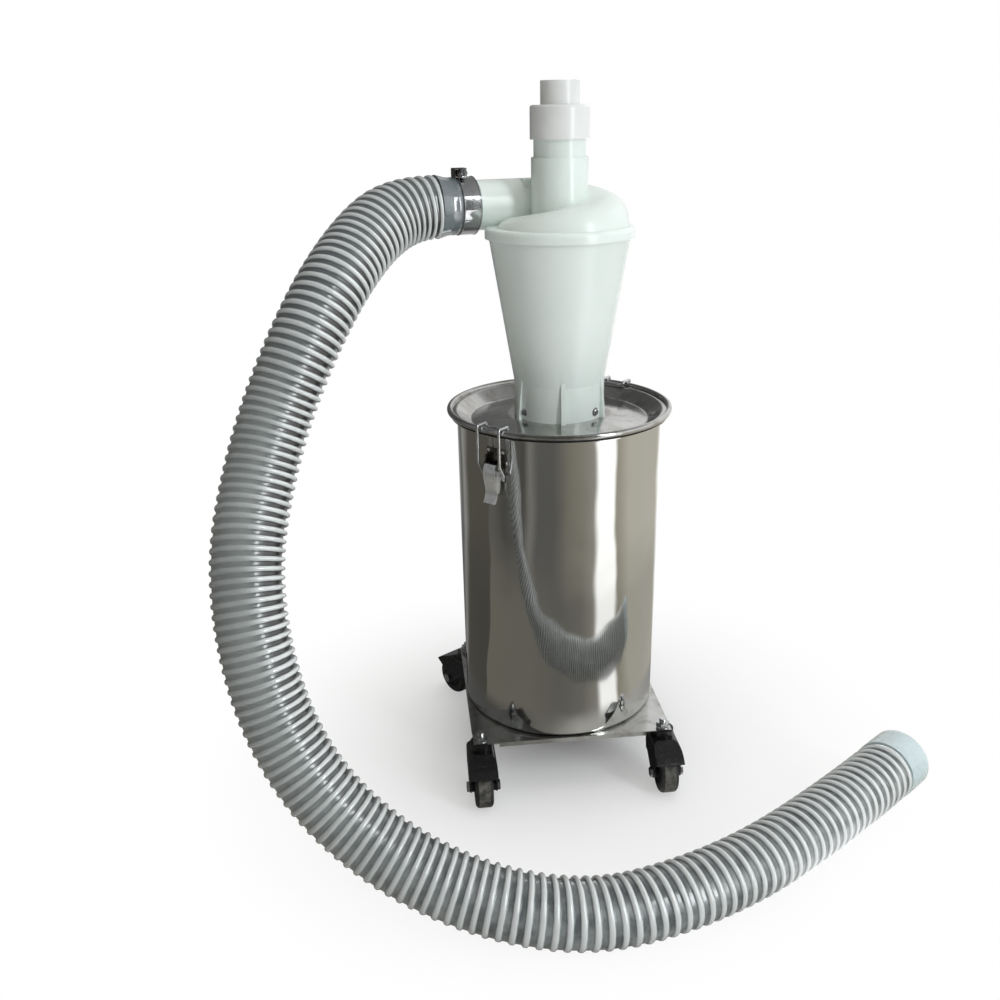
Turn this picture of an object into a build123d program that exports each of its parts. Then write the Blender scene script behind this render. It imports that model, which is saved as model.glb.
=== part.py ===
from build123d import *
import os
from math import cos, pi, radians, sin, sqrt, tan

# A mobile cyclone dust separator: a moulded cyclone on the dished lid of a stainless drum,
# the drum on a square plate with four swivel castors, and a ribbed suction hose.
# Millimetres, +Z up. The origin is on the floor, on the axis of the drum.

# Clearances
running_clearance = 0.3
pin_clearance = 0.05

# Drum
drum_radius = 145.0
drum_sheet = 1.2
drum_height = 453.0  # plate to the top face of the rim flange
rim_flange_width = 9.0
foot_width = 12.0  # the wall's foot, turned in under the drum
foot_round = 6.0
bottom_sheet = 1.5

# Base plate
plate_margin = 2.0  # plate's edge from the drum wall
plate_sheet = 2.0
plate_edge_depth = 7.0
plate_corner_length = 38.0  # the turned-down edges stop short of the castors

# Castors
castor_height = 90.0  # floor to the top face of the base plate
castor_inset = 11.0  # stem axis from the plate's edge
castor_trail = 30.0
rear_castor_turn = 35.0  # degrees that the rear castors stand turned outward
wheel_radius = 31.5
wheel_width = 26.0
tyre_round = 6.0
hub_radius = 20.0
hub_recess = 1.0
axle_radius = 4.0
axle_boss_wall = 4.0
axle_head_radius = 6.5
axle_head_height = 4.0
wheel_room = 5.0  # between the wheel and its hood
hood_sheet = 2.5
hood_round = 9.0
hood_skirt = 14.0  # lowest edge of the hood over the axle
hood_rise = 22.0  # that edge's rise from the arms to the hood's front
crown_radius = 20.0
crown_height = 5.7
arm_radius = 9.0
stem_radius = 5.0
stem_rise = 14.0
stem_head_rim = 3.0
stem_head_height = 2.5
stem_nut_radius = 8.5
stem_nut_height = 8.0
race_radius = 16.0
race_height = 10.0

# Lid
gasket_inset = 2.2
gasket_height = 4.5
gasket_width = 4.5
lid_sheet = 1.5
lid_ledge_width = 6.0
lid_press_round = 6.0
bead_radius = 4.0
bead_lift = 1.0  # bead's axis over the ledge
pan_depth = 15.0  # ledge to the pan's lowest line
pan_slope_width = 19.0
seat_rise = 7.0  # cyclone's seat over the pan's lowest line
seat_margin = 3.0
collar_height = 30.0

# Cyclone cone
spigot_radius = 63.2
spigot_height = 49.0
cone_height = 195.0
cone_top_radius = 95.0
cone_wall = 3.0
rib_count = 6
rib_start = 266.0  # degrees round to the rib at the front
rib_thickness = 6.0
rib_foot = 6.5
rib_height = 56.0

# Cyclone head
head_turn = 15.0  # degrees that the inlet points towards the front
head_wall = 3.0
lip_radius = 99.6
lip_height = 14.0
lip_overlap = 4.0
lip_round = 6.0
lip_slope = 2.0
inlet_radius = 32.0
inlet_reach = 28.4  # inlet's end beyond the lip
inlet_lift = 3.5  # lowest line of the inlet over the cone's top edge
roof_inset = 0.5
roof_pitch = 58.0
roof_turn = 320.0  # degrees that the spiral roof runs down from the inlet
roof_lead_in = 35.0  # straight start of the roof, along the inlet
neck_radius = 37.3
neck_height = 95.0  # step of the neck over the cone's top edge
neck_top_radius = 34.0
neck_top_height = 45.0
vortex_depth = 45.0
outlet_bore_radius = 31.0

# Outlet pipe and coupling
coupling_radius = 38.6
coupling_lift = 21.5  # coupling's lower edge over the step of the neck
coupling_height = 40.5
coupling_round = 3.5
pipe_radius = 25.0
pipe_wall = 2.5
pipe_shank = 1.0  # pipe's end in the socket is turned down by this much
pipe_socket = 16.0
pipe_rise = 28.0  # pipe over the top of the coupling

# Hose and clamp
hose_radius = 44.0
hose_wall = 5.0
cuff_wall = 3.0
cuff_overlap = 30.0  # hose end pushed on the inlet
cuff_flare = 24.0
clamp_setback = 2.0
clamp_width = 24.0
clamp_sheet = 1.5
screw_radius = 3.5
screw_length = 34.0
housing_length = 18.0
housing_width = 16.0
housing_height = 11.0
housing_round = 2.0
housing_shift = 6.0  # housing off the band's middle, towards the hose
hose_lead_length = 40.0
bend_share = 0.45  # share of a run that a bend may take
end_cuff_radius = 44.5
end_cuff_wall = 4.0
end_cuff_length = 44.0
end_cuff_lift = 0.5  # cuff's lowest line over the floor

# Latches
latch_angles = {"front": 226.0, "rear": 46.0}
latch_base_sheet = 1.5
latch_base_width = 30.0
latch_base_height = 46.0
latch_pivot_drop = 52.0  # lever pivot under the top of the bead
latch_pivot_out = 9.5  # lever pivot from the drum wall
bail_pivot_drop = 13.5  # bail pivot under the lever pivot
bail_pivot_in = 3.0
latch_pin_radius = 2.0
ear_sheet = 2.0
ear_gap = 20.0
ear_radius = 5.0
lever_length = 50.0
lever_sheet = 2.0
lever_cheek_radius = 3.5
lever_bulge = 7.0
lever_tip_out = 9.0
bail_wire_radius = 2.0
bail_bend_radius = 2.3
bail_end_gap = 2.0
bail_width = 36.0
hook_gap = 0.5
hook_width = 19.0
hook_drop = 4.7
bail_knee = 18.0  # height over the bail pivot where the wires turn upright

# Places worked out from the sizes above
plate_side = 2 * (drum_radius + plate_margin)
castor_half = plate_side / 2 - castor_inset
plate_top = castor_height
plate_under = plate_top - plate_sheet
drum_rim = plate_top + drum_height
ledge_under = drum_rim + gasket_height
ledge_top = ledge_under + lid_sheet
bead_axis_radius = drum_radius + lid_ledge_width + bead_radius
bead_axis_height = ledge_top + bead_lift
bead_top = bead_axis_height + bead_radius
pan_low = ledge_top - pan_depth
pan_top = pan_low + seat_rise
cone_foot = pan_top + spigot_height
cone_top = cone_foot + cone_height
inlet_height = cone_top + inlet_radius + inlet_lift
roof_path_radius = cone_top_radius - head_wall - roof_inset - inlet_radius
inlet_length = lip_radius + inlet_reach
lip_bottom = cone_top - lip_overlap
lip_top = lip_bottom + lip_height
neck_step = cone_top + neck_height
coupling_bottom = neck_step + coupling_lift
coupling_top = coupling_bottom + coupling_height
neck_end = neck_step + neck_top_height
pipe_end = coupling_top + pipe_rise
pipe_seat = coupling_top - pipe_socket

os.makedirs("parts", exist_ok=True)


def keep(shape, name):
    """Label a finished piece and write it."""
    shape.label = name
    export_step(shape, f"parts/{name}.step")


def ring(inner, outer, bottom, top):
    """A plain ring about the axis of the drum."""
    with BuildPart() as body:
        with BuildSketch(Plane.XY.offset(bottom)):
            Circle(outer)
            Circle(inner, mode=Mode.SUBTRACT)
        extrude(amount=top - bottom)
    return body.part


# Base plate with turned-down edges
with BuildPart() as base_plate:
    with BuildSketch(Plane.XY.offset(plate_under)):
        Rectangle(plate_side, plate_side)
        with GridLocations(2 * castor_half, 2 * castor_half, 2, 2):
            Circle(stem_radius + pin_clearance, mode=Mode.SUBTRACT)
    extrude(amount=plate_sheet)
    with BuildSketch(Plane.XY.offset(plate_under)):
        with PolarLocations(plate_side / 2 - plate_sheet / 2, 4):
            Rectangle(plate_sheet, plate_side - 2 * plate_corner_length)
    extrude(amount=-(plate_edge_depth - plate_sheet))
keep(base_plate.part, "base_plate")

# Drum shell with its rim flange and turned-in foot
drum_inside = drum_radius - drum_sheet
with BuildPart() as drum_shell:
    with BuildSketch(Plane.XZ) as shell_section:
        with BuildLine():
            Polyline(
                (drum_radius - foot_width, plate_top),
                (drum_radius, plate_top),
                (drum_radius, drum_rim - drum_sheet),
                (drum_radius + rim_flange_width, drum_rim - drum_sheet),
                (drum_radius + rim_flange_width, drum_rim),
                (drum_inside, drum_rim),
                (drum_inside, plate_top + drum_sheet),
                (drum_radius - foot_width, plate_top + drum_sheet),
                close=True,
            )
        make_face()
        fillet(shell_section.vertices().sort_by_distance((drum_radius, plate_top))[0], foot_round)
        inner_corner = shell_section.vertices().sort_by_distance((drum_inside, plate_top + drum_sheet))[0]
        fillet(inner_corner, foot_round - drum_sheet)
    revolve(axis=Axis.Z)
keep(drum_shell.part, "drum_shell")

# Drum bottom, a disc over the wall's turned-in foot
with BuildPart() as drum_bottom:
    with BuildSketch(Plane.XY.offset(plate_top + foot_round)):
        Circle(drum_inside - pin_clearance)
    extrude(amount=bottom_sheet)
keep(drum_bottom.part, "drum_bottom")

# Rubber gasket between the rim flange and the lid
gasket_inner = drum_radius + gasket_inset
keep(ring(gasket_inner, gasket_inner + gasket_width, drum_rim, ledge_under), "lid_gasket")

# Lid, a dished pan with a rolled bead round its edge, a raised seat for the cyclone,
# and a collar inside the cyclone's spigot
pan_floor_radius = drum_radius - pan_slope_width
seat_radius = spigot_radius + rib_foot + seat_margin
collar_outside = spigot_radius - cone_wall - pin_clearance
collar_inside = collar_outside - lid_sheet
with BuildPart() as drum_lid:
    with BuildSketch(Plane.XZ) as lid_section:
        with BuildLine():
            Polyline(
                (collar_inside, pan_top - lid_sheet),
                (seat_radius, pan_top - lid_sheet),
                (pan_floor_radius, pan_low - lid_sheet),
                (drum_radius, ledge_under),
                (bead_axis_radius, ledge_under),
                (bead_axis_radius, ledge_top),
                (drum_radius, ledge_top),
                (pan_floor_radius, pan_low),
                (seat_radius, pan_top),
                (collar_outside, pan_top),
                (collar_outside, pan_top + collar_height),
                (collar_inside, pan_top + collar_height),
                close=True,
            )
        make_face()
        for press in [
            (pan_floor_radius, pan_low - lid_sheet),
            (pan_floor_radius, pan_low),
            (drum_radius, ledge_under),
            (drum_radius, ledge_top),
        ]:
            fillet(lid_section.vertices().sort_by_distance(press)[0], lid_press_round)
        with Locations((bead_axis_radius, bead_axis_height)):
            Circle(bead_radius)
    revolve(axis=Axis.Z)
keep(drum_lid.part, "drum_lid")

# Cyclone cone with its spigot and ribs
with BuildPart() as cyclone_cone:
    with BuildSketch(Plane.XZ):
        with BuildLine():
            Polyline(
                (spigot_radius - cone_wall, pan_top),
                (spigot_radius, pan_top),
                (spigot_radius, cone_foot),
                (cone_top_radius, cone_top),
                (cone_top_radius - cone_wall, cone_top),
                (spigot_radius - cone_wall, cone_foot),
                close=True,
            )
        make_face()
    revolve(axis=Axis.Z)
    for index in range(rib_count):
        rib_angle = 360 / rib_count * index + rib_start
        rib_plane = Plane(
            origin=(0, 0, pan_top),
            x_dir=(cos(radians(rib_angle)), sin(radians(rib_angle)), 0),
            z_dir=(sin(radians(rib_angle)), -cos(radians(rib_angle)), 0),
        )
        with BuildSketch(rib_plane):
            with BuildLine():
                Polyline(
                    (spigot_radius - cone_wall / 2, 0),
                    (spigot_radius + rib_foot, 0),
                    (spigot_radius + cone_wall / 2, rib_height),
                    (spigot_radius - cone_wall / 2, rib_height),
                    close=True,
                )
            make_face()
        extrude(amount=rib_thickness / 2, both=True)
keep(cyclone_cone.part, "cyclone_cone")


def on_roof_path(angle, height):
    """Plane across the spiral roof's path, its X outward and its Y upward."""
    turn = radians(angle)
    return Plane(
        origin=(roof_path_radius * cos(turn), roof_path_radius * sin(turn), height),
        x_dir=(cos(turn), sin(turn), 0),
        z_dir=(sin(turn), -cos(turn), 0),
    )


def roof_section(plane, wall):
    """The roof's section: flat beside the neck and rounded down to the lip."""
    reach = inlet_radius - wall
    inner_side = neck_radius - head_wall + wall - roof_path_radius
    foot = -inlet_radius - inlet_lift - head_wall
    with BuildSketch(plane) as section:
        with BuildLine():
            Polyline((inner_side, foot), (inner_side, reach), (0, reach))
            RadiusArc((0, reach), (reach, 0), reach)
            Polyline((reach, 0), (reach, foot), (inner_side, foot))
        make_face()
    return section.sketch


def spiral_roof(wall):
    """The spiral roof's solid, drawn in by a wall, over the cone's top edge."""
    drop = roof_pitch * roof_turn / 360
    with BuildPart() as roof:
        with BuildLine() as path:
            Helix(roof_pitch, drop, roof_path_radius, center=(0, 0, inlet_height - drop))
        sweep(roof_section(on_roof_path(0, inlet_height - drop), wall), path=path.line, is_frenet=True)
        extrude(roof_section(on_roof_path(roof_turn, inlet_height), wall), amount=-roof_lead_in + wall)
        split(bisect_by=Plane.XY.offset(cone_top), keep=Keep.TOP)
    return roof.part


# Cyclone head: lip, spiral roof, tangential inlet, outlet neck and vortex tube
inlet_plane = on_roof_path(roof_turn, inlet_height)
with BuildPart() as cyclone_head:
    with BuildSketch(Plane.XZ) as head_section:
        with BuildLine():
            Polyline(
                (0, cone_top),
                (cone_top_radius + pin_clearance, cone_top),
                (cone_top_radius + pin_clearance, lip_bottom),
                (lip_radius, lip_bottom),
                (lip_radius, lip_top),
                (neck_radius, lip_top + lip_slope),
                (neck_radius, neck_step),
                (neck_top_radius, neck_step),
                (neck_top_radius, neck_end),
                (0, neck_end),
                close=True,
            )
        make_face()
        fillet(head_section.vertices().sort_by_distance((lip_radius, lip_top))[0], lip_round)
    revolve(axis=Axis.Z)
    add(spiral_roof(0))
    with BuildSketch(inlet_plane):
        Circle(inlet_radius)
    extrude(amount=-inlet_length)
    add(spiral_roof(head_wall), mode=Mode.SUBTRACT)
    with BuildSketch(inlet_plane):
        Circle(inlet_radius - head_wall)
    extrude(amount=-inlet_length, mode=Mode.SUBTRACT)
    with BuildSketch(Plane.XY.offset(cone_top - vortex_depth)):
        Circle(neck_top_radius)
    extrude(amount=neck_end - cone_top + vortex_depth)
    with BuildSketch(Plane.XY.offset(cone_top - vortex_depth)):
        Circle(outlet_bore_radius)
    extrude(amount=neck_end - cone_top + vortex_depth, mode=Mode.SUBTRACT)
head_rotation = 90.0 - roof_turn + head_turn
keep(cyclone_head.part.rotate(Axis.Z, head_rotation), "cyclone_head")

# Coupling that reduces the neck to the outlet pipe
shank_radius = pipe_radius - pipe_shank
with BuildPart() as outlet_coupling:
    with BuildSketch(Plane.XZ) as coupling_section:
        with BuildLine():
            Polyline(
                (neck_top_radius + pin_clearance, coupling_bottom),
                (coupling_radius, coupling_bottom),
                (coupling_radius, coupling_top),
                (shank_radius + pin_clearance, coupling_top),
                (shank_radius + pin_clearance, pipe_seat),
                (pipe_radius - pipe_wall, pipe_seat),
                (pipe_radius - pipe_wall, neck_end),
                (neck_top_radius + pin_clearance, neck_end),
                close=True,
            )
        make_face()
        outer_rim = coupling_section.vertices().sort_by_distance((coupling_radius, coupling_top))[0]
        fillet(outer_rim, coupling_round)
    revolve(axis=Axis.Z)
keep(outlet_coupling.part, "outlet_coupling")

# Outlet pipe, with its end turned down for the coupling's socket
with BuildPart() as outlet_pipe:
    add(ring(pipe_radius - pipe_wall, shank_radius, pipe_seat, coupling_top))
    add(ring(pipe_radius - pipe_wall, pipe_radius, coupling_top, pipe_end))
keep(outlet_pipe.part, "outlet_pipe")

# The inlet's axis, on which the hose end and its clamp sit
inlet_way = Vector(-cos(radians(head_turn)), -sin(radians(head_turn)), 0)
inlet_side = Vector(-sin(radians(head_turn)), cos(radians(head_turn)), 0)
inlet_origin = inlet_side * roof_path_radius + Vector(0, 0, inlet_height)


def along_inlet(distance):
    """Plane across the inlet at a distance from the head's axis, its Y upward."""
    return Plane(origin=inlet_origin + inlet_way * distance, x_dir=inlet_side * -1, z_dir=inlet_way)


# Smooth end of the hose, squeezed on the inlet and flared to the hose's size
cuff_start = inlet_length - cuff_overlap
cuff_end = inlet_length + cuff_flare
cuff_radius = inlet_radius + pin_clearance + cuff_wall
with BuildPart() as hose_inlet_cuff:
    cuff_section = Plane(origin=inlet_origin, x_dir=inlet_way, z_dir=inlet_side)
    with BuildSketch(cuff_section):
        with BuildLine():
            Polyline(
                (cuff_start, inlet_radius + pin_clearance),
                (cuff_start, cuff_radius),
                (inlet_length, cuff_radius),
                (cuff_end, hose_radius),
                (cuff_end, hose_radius - hose_wall),
                (inlet_length, inlet_radius + pin_clearance),
                close=True,
            )
        make_face()
    revolve(axis=Axis(inlet_origin, inlet_way))
keep(hose_inlet_cuff.part, "hose_inlet_cuff")

# Clamp band on the hose end
clamp_start = cuff_start + clamp_setback
band_outside = cuff_radius + pin_clearance + clamp_sheet
with BuildPart() as clamp_band:
    with BuildSketch(along_inlet(clamp_start)):
        Circle(band_outside)
        Circle(cuff_radius + pin_clearance, mode=Mode.SUBTRACT)
    extrude(amount=clamp_width)
keep(clamp_band.part, "clamp_band")

# Screw housing on top of the band, with the screw through it
housing_middle = clamp_start + clamp_width / 2 + housing_shift
screw_height = band_outside + housing_height / 2
screw_plane = Plane(
    origin=inlet_origin + inlet_way * housing_middle + Vector(0, 0, screw_height),
    x_dir=inlet_way,
    z_dir=inlet_side,
)
with BuildPart() as clamp_housing:
    with BuildSketch(along_inlet(housing_middle - housing_width / 2)):
        with Locations((0, screw_height - housing_round / 2)):
            RectangleRounded(housing_length, housing_height + housing_round, housing_round)
        Circle(band_outside + pin_clearance, mode=Mode.SUBTRACT)
    extrude(amount=housing_width)
    with BuildSketch(screw_plane):
        Circle(screw_radius + pin_clearance)
    extrude(amount=housing_length, both=True, mode=Mode.SUBTRACT)
keep(clamp_housing.part, "clamp_housing")

with BuildPart() as clamp_screw:
    with BuildSketch(screw_plane):
        Circle(screw_radius)
    extrude(amount=screw_length / 2, both=True)
keep(clamp_screw.part, "clamp_screw")

# Suction hose: from the cuff on the inlet down to the floor and round to the front right
hose_lie = end_cuff_radius + end_cuff_lift
hose_start = inlet_origin + inlet_way * cuff_end
hose_lead = hose_start + inlet_way * hose_lead_length
hose_route = [
    hose_start,
    hose_lead,
    Vector(-254, -38, 794),
    Vector(-318, -128, 716),
    Vector(-390, -188, 570),
    Vector(-424, -286, 418),
    Vector(-380, -350, 220),
    Vector(-245, -412, 92),
    Vector(-55, -467, hose_lie),
    Vector(122, -430, hose_lie),
    Vector(294, -338, hose_lie),
    Vector(445, -227, hose_lie),
]


def bend_radii(points):
    """The largest arc that each corner's two runs leave room for."""
    radii = []
    for before, corner, after in zip(points, points[1:], points[2:]):
        shorter = min((corner - before).length, (after - corner).length)
        turn = (corner - before).get_angle(after - corner)
        radii.append(bend_share * shorter / tan(radians(turn / 2)))
    return radii


hose_radii = bend_radii(hose_route)
print("hose bend radii", [round(radius) for radius in hose_radii])
with BuildPart() as suction_hose:
    with BuildLine() as hose_path:
        FilletPolyline(*hose_route, radius=hose_radii)
    with BuildSketch(Plane(hose_start, x_dir=inlet_side, z_dir=inlet_way)):
        Circle(hose_radius)
        Circle(hose_radius - hose_wall, mode=Mode.SUBTRACT)
    sweep(path=hose_path.line)
hose_length = sum(edge.length for edge in hose_path.edges())
hose_section = pi * (hose_radius**2 - (hose_radius - hose_wall) ** 2)
print("hose length", round(hose_length))
hose_fill = suction_hose.part.volume / hose_section / hose_length
print("hose volume over section times length", round(hose_fill, 4))
keep(suction_hose.part, "suction_hose")

# Smooth cuff on the free end of the hose
end_way = (hose_route[-1] - hose_route[-2]).normalized()
with BuildPart() as hose_end_cuff:
    with BuildSketch(Plane(hose_route[-1], x_dir=(0, 0, 1), z_dir=end_way)):
        Circle(end_cuff_radius)
        Circle(end_cuff_radius - end_cuff_wall, mode=Mode.SUBTRACT)
    extrude(amount=end_cuff_length)
keep(hose_end_cuff.part, "hose_end_cuff")

# Latches, drawn with the radius along X and then turned to their places
pivot = Vector(drum_radius + latch_pivot_out, 0, bead_top - latch_pivot_drop)
bail_pivot = pivot + Vector(-bail_pivot_in, 0, -bail_pivot_drop)
ear_half = ear_gap / 2
ear_foot = sqrt((drum_radius + latch_base_sheet / 2) ** 2 - (ear_half + ear_sheet / 2) ** 2)

with BuildPart() as latch_bracket:
    with BuildSketch(Plane.XY.offset(pivot.Z - latch_base_height / 2)):
        Circle(drum_radius + latch_base_sheet)
        Circle(drum_radius, mode=Mode.SUBTRACT)
        with Locations((drum_radius, 0)):
            Rectangle(4 * latch_base_sheet, latch_base_width, mode=Mode.INTERSECT)
    extrude(amount=latch_base_height)
    for side in (-1, 1):
        with BuildSketch(Plane.XZ.offset(-side * (ear_half + ear_sheet / 2))):
            with Locations((pivot.X, pivot.Z)):
                Circle(ear_radius)
            with Locations(((ear_foot + pivot.X) / 2, pivot.Z + ear_radius)):
                Rectangle(pivot.X - ear_foot, 4 * ear_radius)
            with Locations((pivot.X, pivot.Z)):
                Circle(latch_pin_radius - pin_clearance, mode=Mode.SUBTRACT)
        extrude(amount=ear_sheet / 2, both=True)
    with BuildSketch(Plane.XZ):
        with Locations((pivot.X, pivot.Z)):
            Circle(latch_pin_radius)
    extrude(amount=ear_half + ear_sheet / 2, both=True)

# Lever: two cheeks on the pins and a curved handle between them
lever_half = ear_half - running_clearance
handle_line = [
    (pivot.X + lever_cheek_radius, pivot.Z + lever_cheek_radius),
    (pivot.X + lever_bulge, pivot.Z - lever_length / 3),
    (pivot.X + lever_cheek_radius, pivot.Z - 2 * lever_length / 3),
    (pivot.X + lever_tip_out, pivot.Z - lever_length),
]
handle_back = [(x - lever_sheet, z) for x, z in handle_line]
with BuildPart() as latch_lever:
    with BuildSketch(Plane.XZ):
        with BuildLine():
            Spline(*handle_line)
            Line(handle_line[-1], handle_back[-1])
            Spline(*reversed(handle_back))
            Line(handle_back[0], handle_line[0])
        make_face()
    extrude(amount=lever_half, both=True)
    for side in (-1, 1):
        with BuildSketch(Plane.XZ.offset(side * (lever_half - ear_sheet / 2))):
            for place in [(pivot.X, pivot.Z), (bail_pivot.X, bail_pivot.Z), (pivot.X, handle_back[2][1])]:
                with Locations(place):
                    Circle(lever_cheek_radius)
            make_hull()
        extrude(amount=ear_sheet / 2, both=True)
    for place, radius in ((pivot, latch_pin_radius), (bail_pivot, bail_wire_radius)):
        with BuildSketch(Plane.XZ):
            with Locations((place.X, place.Z)):
                Circle(radius + pin_clearance)
        extrude(amount=ear_half, both=True, mode=Mode.SUBTRACT)

# Bail: a wire from the lever up and over the lid's bead
hook_out = bead_axis_radius + bead_radius + hook_gap + bail_wire_radius
hook_top = bead_top + hook_gap + bail_wire_radius
bail_half = bail_width / 2
bail_side = [
    Vector(bail_pivot.X, bail_end_gap / 2, bail_pivot.Z),
    Vector(bail_pivot.X, bail_half, bail_pivot.Z),
    Vector(hook_out, bail_half, bail_pivot.Z + bail_knee),
    Vector(hook_out, bail_half, hook_top),
    Vector(hook_out - hook_width, bail_half, hook_top),
    Vector(hook_out - hook_width, bail_half, hook_top - hook_drop),
]
bail_route = bail_side + [Vector(point.X, -point.Y, point.Z) for point in reversed(bail_side)]
with BuildPart() as latch_bail:
    with BuildLine() as bail_path:
        FilletPolyline(*bail_route, radius=bail_bend_radius)
    with BuildSketch(Plane(bail_route[0], z_dir=bail_route[1] - bail_route[0])):
        Circle(bail_wire_radius)
    sweep(path=bail_path.line)

for place, angle in latch_angles.items():
    keep(latch_bracket.part.rotate(Axis.Z, angle), f"latch_bracket_{place}")
    keep(latch_lever.part.rotate(Axis.Z, angle), f"latch_lever_{place}")
    keep(latch_bail.part.rotate(Axis.Z, angle), f"latch_bail_{place}")

# Castors, drawn at the origin with the wheel trailing along -Y
crown_top = plate_under - race_height - running_clearance
crown_bottom = crown_top - crown_height
stem_bottom = crown_bottom - running_clearance - stem_head_height
axle_place = (-castor_trail, wheel_radius)
with BuildPart() as castor_stem:
    with BuildSketch(Plane.XY.offset(stem_bottom)):
        Circle(stem_radius)
    extrude(amount=plate_top + stem_rise - stem_bottom)
    with BuildSketch(Plane.XY.offset(plate_under - race_height)):
        Circle(race_radius)
    extrude(amount=race_height)
    with BuildSketch(Plane.XY.offset(plate_top)):
        RegularPolygon(stem_nut_radius, 6, major_radius=False)
    extrude(amount=stem_nut_height)
    with BuildSketch(Plane.XY.offset(stem_bottom)):
        Circle(stem_radius + stem_head_rim)
    extrude(amount=stem_head_height)

# Fork: a pressed hood over the front of the wheel, with an arm down each side
hood_inside = wheel_radius + wheel_room
arm_in = wheel_width / 2 + wheel_room
arm_out = arm_in + hood_sheet
skirt_height = wheel_radius + hood_skirt
hood_front = -castor_trail - hood_inside - hood_sheet
with BuildPart() as castor_fork:
    with BuildSketch(Plane.YZ):
        with Locations(axle_place):
            Circle(hood_inside + hood_sheet)
        with Locations((0, crown_top - crown_height / 2)):
            Rectangle(2 * crown_radius, crown_height)
        make_hull()
        with BuildLine():
            Polyline(
                (hood_front, skirt_height + hood_rise),
                (-castor_trail - arm_radius, skirt_height),
                (-hood_front, skirt_height),
                (-hood_front, -hood_inside),
                (hood_front, -hood_inside),
                close=True,
            )
        make_face(mode=Mode.SUBTRACT)
    extrude(amount=arm_out, both=True)
    with BuildSketch(Plane.XZ):
        with Locations((0, crown_top)):
            RectangleRounded(2 * arm_out, 2 * crown_top, hood_round, align=(Align.CENTER, Align.MAX))
    extrude(amount=castor_trail + 2 * hood_inside, both=True, mode=Mode.INTERSECT)
    with BuildSketch(Plane.YZ):
        with Locations(axle_place):
            Circle(hood_inside)
    extrude(amount=arm_in, both=True, mode=Mode.SUBTRACT)
    with BuildSketch(Plane.XY.offset(crown_bottom)):
        Circle(race_radius)
    extrude(amount=-crown_bottom, mode=Mode.SUBTRACT)
    for side in (-1, 1):
        with BuildSketch(Plane.YZ.offset(side * (arm_out - hood_sheet / 2))):
            with Locations(axle_place):
                Circle(arm_radius)
            with Locations((-castor_trail / 2, skirt_height + hood_sheet / 2)):
                Rectangle(castor_trail + arm_radius, hood_sheet)
            make_hull()
        extrude(amount=hood_sheet / 2, both=True)
    with BuildSketch(Plane.YZ):
        with Locations(axle_place):
            Circle(axle_radius + pin_clearance)
    extrude(amount=arm_out, both=True, mode=Mode.SUBTRACT)
    with BuildSketch(Plane.XY.offset(crown_bottom)):
        Circle(stem_radius + pin_clearance)
    extrude(amount=crown_height, mode=Mode.SUBTRACT)

with BuildPart() as castor_axle:
    with BuildSketch(Plane.YZ):
        with Locations(axle_place):
            Circle(axle_radius)
    extrude(amount=arm_out + axle_head_height, both=True)
    for side in (-1, 1):
        with BuildSketch(Plane.YZ.offset(side * (arm_out + axle_head_height / 2))):
            with Locations(axle_place):
                RegularPolygon(axle_head_radius, 6, major_radius=False)
        extrude(amount=axle_head_height / 2, both=True)

axle_line = Axis((0, -castor_trail, wheel_radius), (1, 0, 0))
bore_radius = axle_radius + pin_clearance
with BuildPart() as castor_hub:
    with BuildSketch(Plane.XY.offset(wheel_radius)):
        with Locations((0, -castor_trail + (hub_radius + bore_radius) / 2)):
            Rectangle(wheel_width - 2 * hub_recess, hub_radius - bore_radius)
        with Locations((0, -castor_trail + bore_radius + axle_boss_wall / 2)):
            Rectangle(2 * (arm_in - running_clearance), axle_boss_wall)
    revolve(axis=axle_line)

with BuildPart() as castor_tyre:
    with BuildSketch(Plane.XY.offset(wheel_radius)) as tyre_section:
        with Locations((0, -castor_trail + (wheel_radius + hub_radius) / 2)):
            Rectangle(wheel_width, wheel_radius - hub_radius)
        outer_corners = tyre_section.vertices().group_by(Axis.Y)[-1]
        fillet(outer_corners, radius=tyre_round)
    revolve(axis=axle_line)

castor_places = {
    "front_left": (-castor_half, -castor_half, 0.0),
    "front_right": (castor_half, -castor_half, 0.0),
    "rear_left": (-castor_half, castor_half, 180.0 + rear_castor_turn),
    "rear_right": (castor_half, castor_half, 180.0 - rear_castor_turn),
}
castor_pieces = {
    "castor_stem": castor_stem,
    "castor_fork": castor_fork,
    "castor_axle": castor_axle,
    "castor_hub": castor_hub,
    "castor_tyre": castor_tyre,
}
for corner, (x, y, turn) in castor_places.items():
    for piece_name, piece in castor_pieces.items():
        keep(piece.part.moved(Location((x, y, 0), (0, 0, turn))), f"{piece_name}_{corner}")
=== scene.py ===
from math import cos, floor, pi, radians, sin

import bmesh
import bpy
from mathutils import Matrix, Vector


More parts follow.
